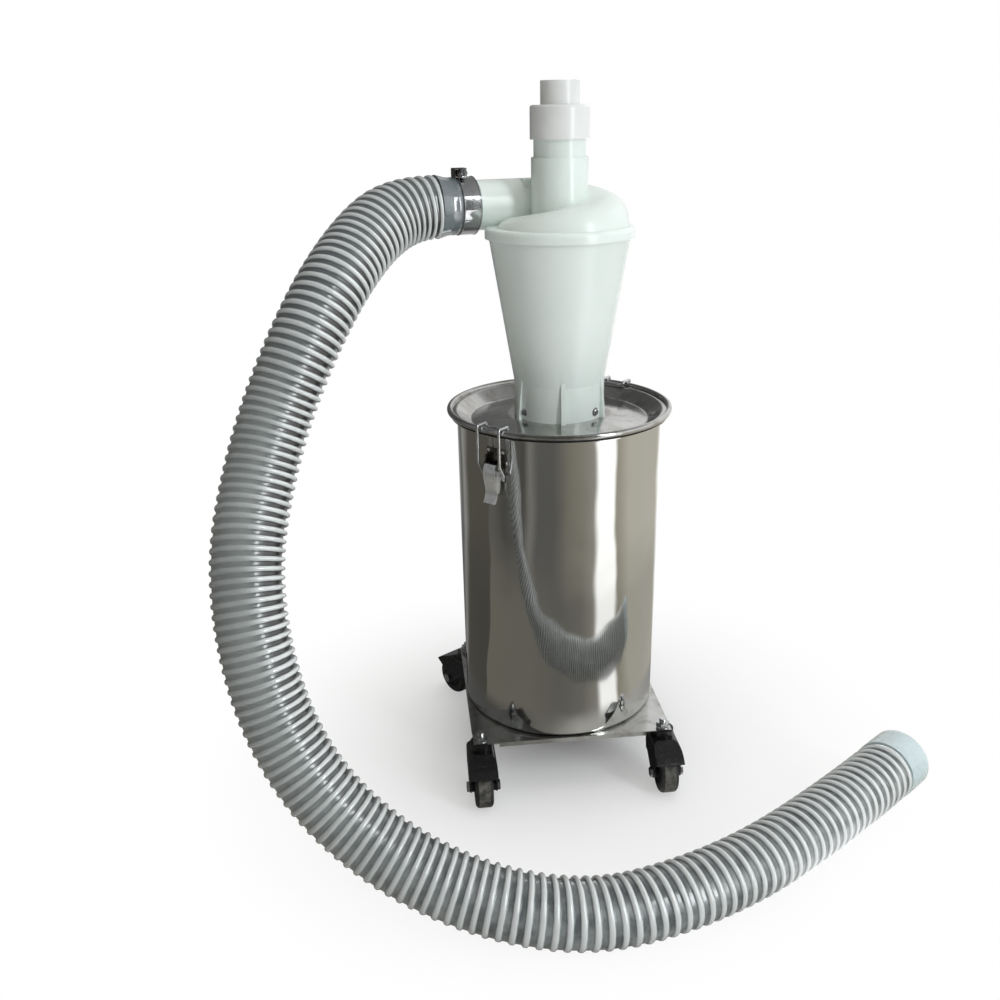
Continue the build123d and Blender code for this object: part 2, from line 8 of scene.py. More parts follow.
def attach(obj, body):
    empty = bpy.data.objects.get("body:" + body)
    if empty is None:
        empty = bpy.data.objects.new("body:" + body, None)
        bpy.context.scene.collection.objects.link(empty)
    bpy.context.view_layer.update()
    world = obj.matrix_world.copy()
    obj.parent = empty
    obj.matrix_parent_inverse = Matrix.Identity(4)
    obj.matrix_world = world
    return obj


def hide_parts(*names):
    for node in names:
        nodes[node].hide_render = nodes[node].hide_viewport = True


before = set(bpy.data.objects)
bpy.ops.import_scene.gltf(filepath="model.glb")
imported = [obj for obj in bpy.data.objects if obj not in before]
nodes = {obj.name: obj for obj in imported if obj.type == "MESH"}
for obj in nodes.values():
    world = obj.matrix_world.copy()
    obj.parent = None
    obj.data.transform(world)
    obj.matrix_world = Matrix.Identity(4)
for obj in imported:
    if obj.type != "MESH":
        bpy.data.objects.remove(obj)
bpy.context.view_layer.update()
UP = Vector((0, 0, 1))

# Camera, in the frame of the object: metres, degrees, and millimetres for the lens
CAMERA_PLACE = Vector((-0.218, -1.382, 0.936))
CAMERA_YAW = 6.11
CAMERA_PITCH = 23.28
CAMERA_ROLL = -0.96
CAMERA_LENS = 36.4
CAMERA_SENSOR = 36.0
CAMERA_SHIFT = (-0.0123, 0.0455)

# Places on the object, in metres and degrees, as in its solids
DRUM_RADIUS = 0.145
DRUM_FOOT = 0.096
DRUM_RIM = 0.543
LID_PAN = 0.541
SPIGOT_RADIUS = 0.0632
INLET_TURN = radians(15.0)
INLET_WAY = Vector((-cos(INLET_TURN), -sin(INLET_TURN), 0))
INLET_SIDE = Vector((-sin(INLET_TURN), cos(INLET_TURN), 0))
INLET_ORIGIN = INLET_SIDE * 0.0595 + UP * 0.8205
CLAMP_START = 0.100
CLAMP_WIDTH = 0.024
CLAMP_RADIUS = 0.0366
CLAMP_SCREW_ALONG = 0.118
CLAMP_SCREW_UP = 0.0421
CUFF_END = 0.152
LATCH_ANGLES = {"front": 226.0, "rear": 46.0}
LATCH_PIVOT_RADIUS = 0.1545
LATCH_PIVOT_HEIGHT = 0.502
CASTOR_HALF = 0.136
CASTOR_TRAIL = 0.030
CASTOR_TURNS = {"front_left": 0.0, "front_right": 0.0, "rear_left": 215.0, "rear_right": 145.0}
WHEEL_RADIUS = 0.0315
PLATE_TOP = 0.090

# Hose, in metres; shares run from 0 to 1
HOSE_RADIUS = 0.044
HOSE_START_RADIUS = 0.0402
HOSE_TAPER = 0.09
HOSE_BORE = 0.0335
HOSE_RIB_DEPTH = 0.0027
HOSE_FOLD_DEPTH = 0.0018  # deeper folds on the inner side of the loop
HOSE_FOLD_SPREAD = 1.4  # how quickly the folds fade towards the outer side
# The fold colours are painted shade in the walls and painted highlight on the ribs; this share of them is
# lost where the hose lies
HOSE_FOLD_SHADE_LOSS = 0.7  # share of the folds' colour that is lost where the hose lies
HOSE_LOOP_MIDDLE = Vector((-0.05, -0.15, 0.40))
HOSE_PITCH_HANGING = 0.0118
HOSE_PITCH_LYING = 0.0152
HOSE_RIB_SHARE_HANGING = 0.53
HOSE_RIB_SHARE_LYING = 0.50
HOSE_LYING_FROM = 0.35  # share of the length where the hanging ribs start to open out
HOSE_LYING_OVER = 0.35  # share of the length over which they do
HOSE_BEND_LENGTH = 0.42  # where the bend at the clamp has run out
HOSE_BEND_FADE = 0.2
HOSE_SIDES = 44
HOSE_STEPS_PER_RIB = 11
HOSE_LAYERS = ("rib", "fold", "bend", "lying")
HOSE_LEAD = 0.040
HOSE_LIE = 0.045
HOSE_ROUTE = [
    tuple(INLET_ORIGIN + INLET_WAY * CUFF_END),
    tuple(INLET_ORIGIN + INLET_WAY * (CUFF_END + HOSE_LEAD)),
    (-0.254, -0.038, 0.794),
    (-0.318, -0.128, 0.716),
    (-0.390, -0.188, 0.570),
    (-0.424, -0.286, 0.418),
    (-0.380, -0.350, 0.220),
    (-0.245, -0.412, 0.092),
    (-0.055, -0.467, HOSE_LIE),
    (0.122, -0.430, HOSE_LIE),
    (0.294, -0.338, HOSE_LIE),
    (0.445, -0.227, HOSE_LIE),
]


def add_camera():
    """The camera stands where the photograph was taken from."""
    yaw, pitch, roll = radians(CAMERA_YAW), radians(CAMERA_PITCH), radians(CAMERA_ROLL)
    ahead = Vector((sin(yaw) * cos(pitch), cos(yaw) * cos(pitch), -sin(pitch)))
    right = Vector((cos(yaw), -sin(yaw), 0))
    up = right.cross(ahead)
    tilted_right = right * cos(roll) + up * sin(roll)
    tilted_up = up * cos(roll) - right * sin(roll)
    data = bpy.data.cameras.new("camera")
    data.lens = CAMERA_LENS
    data.sensor_width = CAMERA_SENSOR
    data.shift_x, data.shift_y = CAMERA_SHIFT
    camera = bpy.data.objects.new("camera", data)
    axes = Matrix((tilted_right, tilted_up, -ahead)).transposed()
    camera.matrix_world = Matrix.Translation(CAMERA_PLACE) @ axes.to_4x4()
    bpy.context.scene.collection.objects.link(camera)
    bpy.context.scene.camera = camera


def add_node(tree, kind, **settings):
    """A new node with some of its settings."""
    made = tree.nodes.new(kind)
    for name, value in settings.items():
        setattr(made, name, value)
    return made


def set_inputs(node, **values):
    """Set a node's inputs; a space in an input's name is written as an underscore."""
    for name, value in values.items():
        node.inputs[name.replace("_", " ")].default_value = value


def colour_ramp(tree, source, *stops):
    """A colour ramp with stops given as (place, colour)."""
    ramp = add_node(tree, "ShaderNodeValToRGB")
    elements = ramp.color_ramp.elements
    while len(elements) < len(stops):
        elements.new(0.5)
    for element, (place, colour) in zip(elements, stops):
        element.position = place
        element.color = (*colour, 1.0)
    tree.links.new(source, ramp.inputs["Fac"])
    return ramp.outputs["Color"]


def mixed_colour(tree, share, first, second):
    """Mix two colours by a share; each colour is a socket or a plain colour."""
    mix = add_node(tree, "ShaderNodeMix", data_type="RGBA")
    tree.links.new(share, mix.inputs[0])
    for socket, value in ((mix.inputs[6], first), (mix.inputs[7], second)):
        if isinstance(value, tuple):
            socket.default_value = (*value, 1.0)
        else:
            tree.links.new(value, socket)
    return mix.outputs[2]


def mapped(tree, source, interpolation="LINEAR", **limits):
    """Map a value from one range to another, 0 to 1 where no limits are given."""
    node = add_node(tree, "ShaderNodeMapRange", interpolation_type=interpolation)
    set_inputs(node, **limits)
    tree.links.new(source, node.inputs["Value"])
    return node.outputs["Result"]


def distance_from_origin(tree):
    """Distance from the origin of the object that is shaded."""
    coordinates = add_node(tree, "ShaderNodeTexCoord")
    length = add_node(tree, "ShaderNodeVectorMath", operation="LENGTH")
    tree.links.new(coordinates.outputs["Object"], length.inputs[0])
    return length.outputs["Value"]


class Finish:
    """A node material with short ways to add the usual nodes."""

    def __init__(self, name):
        self.material = bpy.data.materials.new(name)
        self.material.use_nodes = True
        self.tree = self.material.node_tree
        self.shader = self.tree.nodes["Principled BSDF"]

    def set(self, **values):
        set_inputs(self.shader, **values)

    def noise(self, scale, detail=4.0, roughness=0.55, stretch=(1, 1, 1)):
        """Noise in object coordinates, stretched along the axes."""
        coordinates = add_node(self.tree, "ShaderNodeTexCoord")
        mapping = add_node(self.tree, "ShaderNodeMapping")
        set_inputs(mapping, Scale=stretch)
        noise = add_node(self.tree, "ShaderNodeTexNoise")
        set_inputs(noise, Scale=scale, Detail=detail, Roughness=roughness)
        self.tree.links.new(coordinates.outputs["Object"], mapping.inputs["Vector"])
        self.tree.links.new(mapping.outputs["Vector"], noise.inputs["Vector"])
        return noise.outputs["Fac"]

    def ramp(self, source, *stops):
        return colour_ramp(self.tree, source, *stops)

    def mix(self, share, first, second):
        return mixed_colour(self.tree, share, first, second)

    def colour(self, source):
        self.tree.links.new(source, self.shader.inputs["Base Color"])

    def rough(self, source, low, high):
        """Roughness from low to high where the source runs from 0 to 1."""
        roughness = mapped(self.tree, source, To_Min=low, To_Max=high)
        self.tree.links.new(roughness, self.shader.inputs["Roughness"])

    def bump(self, height, strength, distance):
        bump = add_node(self.tree, "ShaderNodeBump")
        set_inputs(bump, Strength=strength, Distance=distance)
        self.tree.links.new(height, bump.inputs["Height"])
        self.tree.links.new(bump.outputs["Normal"], self.shader.inputs["Normal"])


def noise_finish(name, tone, gloss, relief, **settings):
    """A finish of three noises, each given by its settings and by what it drives.

    The tone's noise runs between two stops of colour, the gloss's between two levels of
    roughness, and the relief's makes bumps of some strength and depth.
    """
    finish = Finish(name)
    finish.set(**settings)
    tone_noise, first_stop, second_stop = tone
    finish.colour(finish.ramp(finish.noise(*tone_noise), first_stop, second_stop))
    gloss_noise, smoothest, roughest = gloss
    finish.rough(finish.noise(*gloss_noise), smoothest, roughest)
    relief_noise, strength, depth = relief
    finish.bump(finish.noise(*relief_noise), strength, depth)
    return finish.material


def polished_steel():
    """Mirror-polished stainless sheet with slight waves and fine wipe marks."""
    return noise_finish(
        "polished_stainless",
        tone=((3.0, 3.0), (0.3, (0.54, 0.54, 0.52)), (0.7, (0.61, 0.61, 0.59))),
        gloss=((60.0, 6.0, 0.6, (1.0, 1.0, 0.08)), 0.04, 0.11),
        relief=((9.0, 2.0, 0.45, (1.0, 1.0, 0.75)), 0.3, 0.012),
        Metallic=1.0,
    )


def sheet_steel():
    """Stainless sheet of the lid, the drum's bottom and the base plate, polished less and smudged."""
    finish = Finish("sheet_stainless")
    finish.set(Metallic=1.0)
    stain = finish.noise(14.0, 5.0)
    clean = finish.ramp(stain, (0.3, (0.44, 0.44, 0.43)), (0.65, (0.58, 0.58, 0.57)))
    smudge = finish.noise(34.0, 6.0, 0.68)
    dust = finish.ramp(smudge, (0.48, (0, 0, 0)), (0.66, (0.75, 0.75, 0.75)))
    finish.colour(finish.mix(dust, clean, (0.31, 0.295, 0.26)))
    finish.rough(finish.noise(90.0, 6.0, 0.65), 0.07, 0.24)
    finish.bump(finish.noise(12.0, 2.0), 0.08, 0.006)
    return finish.material


def moulded_plastic():
    """Milky polypropylene of the cyclone."""
    return noise_finish(
        "milky_polypropylene",
        tone=((7.0,), (0.3, (0.80, 0.875, 0.838)), (0.7, (0.85, 0.91, 0.878))),
        gloss=((40.0,), 0.18, 0.3),
        relief=((220.0, 3.0), 0.05, 0.001),
        Subsurface_Weight=0.35,
        Subsurface_Radius=(0.9, 1.0, 0.97),
        Subsurface_Scale=0.004,
    )


def pipe_plastic():
    """White pipe plastic of the coupling and the outlet pipe."""
    return noise_finish(
        "white_pipe_plastic",
        tone=((18.0,), (0.3, (0.79, 0.79, 0.785)), (0.7, (0.86, 0.86, 0.855))),
        gloss=((60.0,), 0.18, 0.3),
        relief=((150.0, 3.0), 0.04, 0.001),
    )


def hose_plastic():
    """Translucent grey hose wall between pale ribs; on the loop's inner side painted shade darkens the
    walls and a painted highlight brightens the ribs.
    """
    finish = Finish("ribbed_hose")
    rib, fold, bend, lying = (
        add_node(finish.tree, "ShaderNodeAttribute", attribute_name=name).outputs["Fac"]
        for name in HOSE_LAYERS
    )
    tint = finish.noise(10.0)
    mottle = finish.noise(38.0, 3.0, 0.6)

    def tinted(dark, pale):
        return finish.ramp(tint, (0.3, dark), (0.7, pale))

    # Lit and shaded copies of one hose: low contrast where it hangs straight, painted shade in the walls
    # and painted highlight on the ribs at the bend by the clamp, darker walls and paler painted ribs where
    # it lies
    wall_straight = tinted((0.242, 0.261, 0.26), (0.312, 0.331, 0.33))
    wall_bent = tinted((0.085, 0.097, 0.104), (0.15, 0.164, 0.17))
    wall_lying = finish.ramp(mottle, (0.36, (0.095, 0.107, 0.115)), (0.64, (0.27, 0.29, 0.295)))
    # Painted shade: near-black walls on the loop's inner side
    wall_fold_shade = tinted((0.006, 0.007, 0.008), (0.018, 0.02, 0.022))
    ridge_straight = tinted((0.353, 0.376, 0.375), (0.443, 0.466, 0.463))
    ridge_bent = tinted((0.59, 0.61, 0.615), (0.69, 0.71, 0.715))
    # Painted highlight: paler ribs on the loop's inner side
    ridge_fold_highlight = tinted((0.73, 0.75, 0.755), (0.83, 0.85, 0.855))
    ridge_lying = tinted((0.64, 0.66, 0.665), (0.73, 0.75, 0.755))
    wall = finish.mix(bend, finish.mix(lying, wall_straight, wall_lying), wall_bent)
    wall = finish.mix(fold, wall, wall_fold_shade)
    ridge = finish.mix(lying, finish.mix(bend, ridge_straight, ridge_bent), ridge_lying)
    ridge = finish.mix(fold, ridge, ridge_fold_highlight)
    share = finish.ramp(rib, (0.15, (0, 0, 0)), (0.6, (1, 1, 1)))
    finish.colour(finish.mix(share, wall, ridge))
    finish.rough(share, 0.3, 0.12)
    finish.set(Specular_IOR_Level=0.9, Coat_Weight=0.6, Coat_Roughness=0.1, Coat_IOR=1.6)
    finish.set(Subsurface_Weight=0.15, Subsurface_Radius=(1.0, 1.0, 1.0), Subsurface_Scale=0.003)
    finish.bump(finish.noise(300.0, 2.0), 0.05, 0.0006)
    return finish.material


def cuff_plastic(name, dark, pale, coat):
    """Smooth soft plastic of the hose's ends, under a clear coat."""
    return noise_finish(
        name,
        tone=((16.0,), (0.3, dark), (0.7, pale)),
        gloss=((70.0,), 0.2, 0.35),
        relief=((120.0, 2.0), 0.05, 0.001),
        Coat_Weight=coat,
        Coat_Roughness=0.06,
        Coat_IOR=2.0,
        Subsurface_Weight=0.3,
        Subsurface_Radius=(1.0, 1.0, 1.0),
        Subsurface_Scale=0.006,
    )


def bright_zinc():
    """Zinc-plated wire, bolts and nuts."""
    return noise_finish(
        "bright_zinc",
        tone=((120.0, 5.0), (0.3, (0.50, 0.51, 0.52)), (0.7, (0.68, 0.69, 0.70))),
        gloss=((260.0,), 0.12, 0.3),
        relief=((400.0, 3.0), 0.08, 0.0004),
        Metallic=1.0,
    )


def latch_zinc_lit():
    """Zinc plate of the latches' levers and rivets, paler and less metallic than the other zinc as a
    painted highlight.
    """
    return noise_finish(
        "latch_zinc_lit",
        tone=((110.0, 5.0), (0.3, (0.74, 0.75, 0.75)), (0.7, (0.92, 0.93, 0.93))),
        gloss=((240.0,), 0.1, 0.22),
        relief=((380.0, 3.0), 0.08, 0.0004),
        Metallic=0.74,
    )


def clamp_chrome():
    """Bright rolled steel of the hose clamp."""
    return noise_finish(
        "clamp_steel",
        tone=((70.0,), (0.3, (0.52, 0.53, 0.54)), (0.7, (0.64, 0.65, 0.66))),
        gloss=((160.0, 4.0, 0.6), 0.05, 0.14),
        relief=((45.0, 2.0), 0.12, 0.002),
        Metallic=1.0,
    )


def painted_shade_metal():
    """Steel of the clamp's screw and housing and of the latch brackets, darkened as painted shade."""
    return noise_finish(
        "painted_shade_metal",
        tone=((150.0, 5.0), (0.35, (0.10, 0.092, 0.085)), (0.7, (0.24, 0.225, 0.21))),
        gloss=((220.0,), 0.16, 0.34),
        relief=((350.0, 3.0), 0.08, 0.0004),
        Metallic=1.0,
    )


def dark_slot():
    """Shadowed slots of the clamp."""
    finish = Finish("clamp_slot_dark")
    finish.colour(finish.ramp(finish.noise(200.0), (0.4, (0.015, 0.015, 0.016)), (0.8, (0.05, 0.05, 0.05))))
    finish.set(Metallic=0.4, Roughness=0.5)
    return finish.material


def black_paint():
    """Black paint of the castor forks, scuffed."""
    scuffs = (130.0, 6.0, 0.7)
    return noise_finish(
        "black_paint",
        tone=(scuffs, (0.5, (0.006, 0.006, 0.007)), (0.85, (0.028, 0.028, 0.028))),
        gloss=(scuffs, 0.14, 0.36),
        relief=((500.0, 3.0), 0.1, 0.0004),
        Specular_IOR_Level=0.6,
    )


def wheel_plastic():
    """Black nylon of the castor hubs."""
    grain = (180.0,)
    return noise_finish(
        "black_nylon",
        tone=(grain, (0.4, (0.01, 0.01, 0.011)), (0.75, (0.03, 0.03, 0.03))),
        gloss=(grain, 0.35, 0.55),
        relief=(grain, 0.06, 0.0005),
        Specular_IOR_Level=0.25,
    )


def tyre_rubber(name, dark, dusty):
    """Tyre rubber with patches of floor dust."""
    dust = (90.0, 6.0, 0.7)
    return noise_finish(
        name,
        tone=(dust, (0.35, dark), (0.75, dusty)),
        gloss=(dust, 0.42, 0.65),
        relief=((350.0,), 0.15, 0.0006),
        Specular_IOR_Level=0.25,
    )


def gasket_rubber():
    """Black rubber of the lid gasket."""
    grain = (200.0,)
    return noise_finish(
        "gasket_rubber",
        tone=(grain, (0.4, (0.012, 0.012, 0.012)), (0.8, (0.035, 0.035, 0.034))),
        gloss=(grain, 0.6, 0.8),
        relief=(grain, 0.1, 0.0005),
    )


def give(material, *starts):
    """Put a material on every CAD node whose name starts with one of the words."""
    for name, node in nodes.items():
        if name.startswith(starts):
            node.data.materials.clear()
            node.data.materials.append(material)


def give_by_face(first, second, start, takes_second):
    """Put two materials on the CAD nodes whose names start with a word, chosen face by face."""
    for name, node in nodes.items():
        if name.startswith(start):
            node.data.materials.clear()
            node.data.materials.append(first)
            node.data.materials.append(second)
            for face in node.data.polygons:
                face.material_index = int(takes_second(name, node, face))


def under_the_plate(name, node, face):
    """True for a castor stem's swivel race, which lies under the base plate's top."""
    return (node.matrix_world @ face.center).z < PLATE_TOP - 0.001


def on_the_tread(name, node, face):
    """True where a tyre faces away from its axle, so that it rolls on the floor."""
    axle = around(CASTOR_TURNS[name.removeprefix("castor_tyre_")])
    facing = node.matrix_world.to_3x3() @ face.normal
    return abs(facing.dot(axle)) < 0.2


def around(angle):
    """Outward direction at an angle round the object, in degrees."""
    return Vector((cos(radians(angle)), sin(radians(angle)), 0))


def spoke(first, second, step, count):
    """One of a number of even directions round a circle that two directions span."""
    angle = 2 * pi * step / count
    return first * cos(angle) + second * sin(angle)


def bridge(shape, first, second):
    """Faces between two closed rows of vertices."""
    for index in range(len(first)):
        after = (index + 1) % len(first)
        shape.faces.new([first[index], first[after], second[after], second[index]])


def drawn_mesh(name, shape):
    """The mesh of a drawn shape."""
    mesh = bpy.data.meshes.new(name)
    shape.to_mesh(mesh)
    shape.free()
    return mesh


def new_piece(name, mesh, material, body):
    """A finished piece that rides on a body."""
    mesh.materials.append(material)
    piece = bpy.data.objects.new(name, mesh)
    bpy.context.scene.collection.objects.link(piece)
    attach(piece, body)
    return piece


def finish_piece(name, shape, material, body, soft=True):
    """Turn a drawn shape into a piece that rides on a body."""
    bmesh.ops.recalc_face_normals(shape, faces=shape.faces)
    for face in shape.faces:
        face.smooth = soft
    mesh = drawn_mesh(name, shape)
    if soft:
        mesh.set_sharp_from_angle(angle=radians(35))
    piece = new_piece(name, mesh, material, body)
    return piece


def hose_line():
    """Points along the hose's smooth line, from the inlet to the free end."""
    curve = bpy.data.curves.new("hose_line", "CURVE")
    curve.dimensions = "3D"
    curve.resolution_u = 40
    spline = curve.splines.new("NURBS")
    spline.points.add(len(HOSE_ROUTE) - 1)
    for point, place in zip(spline.points, HOSE_ROUTE):
        point.co = (*place, 1.0)
    spline.order_u = 3
    spline.use_endpoint_u = True
    holder = bpy.data.objects.new("hose_line", curve)
    bpy.context.scene.collection.objects.link(holder)
    bpy.context.view_layer.update()
    line = bpy.data.meshes.new_from_object(holder)
    points = [vertex.co.copy() for vertex in line.vertices]
    bpy.data.objects.remove(holder)
    bpy.data.meshes.remove(line)
    return points


def lengths_along(points):
    """Distance of each point from the first one, along the line."""
    total = 0.0
    lengths = [0.0]
    for before, after in zip(points, points[1:]):
        total += (after - before).length
        lengths.append(total)
    return lengths


def smooth(share):
    """Ease from 0 to 1."""
    share = min(1.0, max(0.0, share))
    return share * share * (3 - 2 * share)


def hose_rings(points):
    """Centre, direction, rib phase, and shares of lying and bending, at even steps along the hose."""
    lengths = lengths_along(points)
    total = lengths[-1]
    count = int(total / (HOSE_PITCH_HANGING / HOSE_STEPS_PER_RIB))
    rings = []
    phase = 0.0
    index = 0
    for ring in range(count + 1):
        along = total * ring / count
        while index < len(points) - 2 and lengths[index + 1] < along:
            index += 1
        share = (along - lengths[index]) / (lengths[index + 1] - lengths[index])
        centre = points[index].lerp(points[index + 1], share)
        way = (points[index + 1] - points[index]).normalized()
        lying = smooth((along / total - HOSE_LYING_FROM) / HOSE_LYING_OVER)
        bend = smooth((HOSE_BEND_LENGTH - along) / HOSE_BEND_FADE)
        rings.append((centre, way, phase, lying, bend))
        pitch = HOSE_PITCH_HANGING + (HOSE_PITCH_LYING - HOSE_PITCH_HANGING) * lying
        phase += total / count / pitch
    return rings


def rib_height(phase, width):
    """Round rib on the first part of each turn, flat wall on the rest, from 0 to 1."""
    share = phase - floor(phase)
    if share > width:
        return 0.0
    return sin(pi * share / width) ** 0.4


def hose_mesh(points):
    """Tube with a helical rib outside and a smooth bore, closed at both ends."""
    rings = hose_rings(points)
    shape = bmesh.new()
    layers = [shape.verts.layers.float.new(name) for name in HOSE_LAYERS]
    side = UP.cross(rings[0][1]).normalized()
    outer, inner = [], []
    for number, (centre, way, phase, lying, bend) in enumerate(rings):
        side = (side - way * side.dot(way)).normalized()
        up = way.cross(side)
        grown = smooth((centre - rings[0][0]).length / HOSE_TAPER)
        outside = HOSE_START_RADIUS + (HOSE_RADIUS - HOSE_START_RADIUS) * grown
        inward = HOSE_LOOP_MIDDLE - centre
        inward = (inward - way * inward.dot(way)).normalized()
        width = HOSE_RIB_SHARE_HANGING + (HOSE_RIB_SHARE_LYING - HOSE_RIB_SHARE_HANGING) * lying
        spokes = [spoke(side, up, turn, HOSE_SIDES) for turn in range(HOSE_SIDES)]
        row = []
        for turn, out in enumerate(spokes):
            rib = rib_height(phase - turn / HOSE_SIDES, width)
            fold = smooth(0.5 + HOSE_FOLD_SPREAD * out.dot(inward))
            radius = outside - (HOSE_RIB_DEPTH + HOSE_FOLD_DEPTH * fold) * (1 - rib)
            vertex = shape.verts.new(centre + out * radius)
            # The fold layer marks where the painted shade and highlight go, less where the hose lies
            for layer, value in zip(layers, (rib, fold * (1 - HOSE_FOLD_SHADE_LOSS * lying), bend, lying)):
                vertex[layer] = value
            row.append(vertex)
        outer.append(row)
        if number % (HOSE_STEPS_PER_RIB * 2) == 0 or number == len(rings) - 1:
            inner.append([shape.verts.new(centre + out * HOSE_BORE) for out in spokes])
    for rows in (outer, inner):
        for first, second in zip(rows, rows[1:]):
            bridge(shape, first, second)
    for end in (0, -1):
        bridge(shape, outer[end], inner[end])
    for face in shape.faces:
        face.smooth = True
    bmesh.ops.recalc_face_normals(shape, faces=shape.faces)
    return drawn_mesh("suction_hose_ribbed", shape)


def add_hose_end(material):
    """Smooth end of the hose on the inlet, swelling from the clamp to the first rib."""
    sides = 96
    start = CLAMP_START - 0.0017
    clamp_end = CLAMP_START + CLAMP_WIDTH
    squeezed = 0.0350
    bore = 0.0322
    # Distances along the inlet and radii
    outside = [
        (start, squeezed - 0.0010),
        (start + 0.0003, squeezed),
        (clamp_end + 0.0005, squeezed),
        (clamp_end + 0.0028, 0.0364),
        (clamp_end + 0.0060, 0.0366),
        (clamp_end + 0.0105, 0.0362),
        (clamp_end + 0.0160, 0.0370),
        (clamp_end + 0.0220, 0.0386),
        (CUFF_END, HOSE_START_RADIUS),
    ]
    inside = [(CUFF_END, HOSE_BORE), (clamp_end + 0.0050, bore), (start, bore)]
    shape = bmesh.new()
    rows = []
    for turn in range(sides):
        out = spoke(UP, INLET_SIDE, turn, sides)
        line = [INLET_ORIGIN + INLET_WAY * along + out * radius for along, radius in outside + inside]
        rows.append([shape.verts.new(point) for point in line])
    for first, second in zip(rows, rows[1:] + rows[:1]):
        bridge(shape, first, second)
    piece = finish_piece("smooth_hose_end", shape, material, "stand")
    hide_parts("hose_inlet_cuff")
    return piece


def add_hose(smooth_end):
    """The ribbed hose in place of its plain solid."""
    points = hose_line()
    hose = new_piece("ribbed_hose", hose_mesh(points), hose_plastic(), "stand")
    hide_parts("suction_hose")


def pointing(place, axis):
    """Matrix that puts the origin at a place with Z along an axis."""
    return Matrix.Translation(place) @ Vector(axis).to_track_quat("Z", "Y").to_matrix().to_4x4()


def add_disc(shape, place, axis, radius, height, sides=32, edge=0.25):
    """A short round or many-sided prism with a chamfered far edge, standing on a place."""
    matrix = pointing(place, axis)
    chamfer = height * edge
    rings = []
    for level, size in ((0.0, radius), (height - chamfer, radius), (height, radius - chamfer)):
        ring = []
        for index in range(sides):
            angle = 2 * pi * index / sides
            ring.append(shape.verts.new(matrix @ Vector((size * cos(angle), size * sin(angle), level))))
        rings.append(ring)
    for lower, upper in zip(rings, rings[1:]):
        bridge(shape, lower, upper)
    shape.faces.new(rings[-1])
    shape.faces.new(rings[0][::-1])


def add_block(shape, place, axis, across, size):
    """A box centred on a place, with its Z along an axis and its X along another."""
    z_axis = Vector(axis).normalized()
    x_axis = Vector(across).normalized()
    matrix = Matrix((x_axis, z_axis.cross(x_axis), z_axis)).transposed().to_4x4()
    matrix = Matrix.Translation(place) @ matrix @ Matrix.Diagonal((*size, 1.0))
    bmesh.ops.create_cube(shape, size=1.0, matrix=matrix)


def add_ring(shape, place, axis, radius, thickness, sides=72, round_sides=10):
    """A round ring about an axis."""
    matrix = pointing(place, axis)
    rows = []
    for index in range(sides):
        angle = 2 * pi * index / sides
        row = []
        for step in range(round_sides):
            turn = 2 * pi * step / round_sides
            reach = radius + thickness * cos(turn)
            point = Vector((reach * cos(angle), reach * sin(angle), thickness * sin(turn)))
            row.append(shape.verts.new(matrix @ point))
        rows.append(row)
    for first, second in zip(rows, rows[1:] + rows[:1]):
        bridge(shape, first, second)


def add_foot_screws(zinc):
    """Pan-head screws through the cyclone's spigot into the lid's collar."""
    height = LID_PAN + 0.0105
    sunk = 0.0003
    washer_radius, washer_height = 0.0062, 0.0008
    head_radius, head_height = 0.0044, 0.0028
    cross_size = (0.0046, 0.0008, 0.0004)
    shape = bmesh.new()
    for angle in (31.0, 133.0, 211.0, 313.0):
        out = around(angle)
        place = out * (SPIGOT_RADIUS - sunk) + UP * height
        add_disc(shape, place, out, washer_radius, washer_height, 28, 0.2)
        add_disc(shape, place + out * washer_height, out, head_radius, head_height, 28, 0.45)
        for across in (UP, out.cross(UP)):
            add_block(shape, place + out * (washer_height + head_height), out, across, cross_size)
    finish_piece("spigot_screws", shape, zinc, "stand")


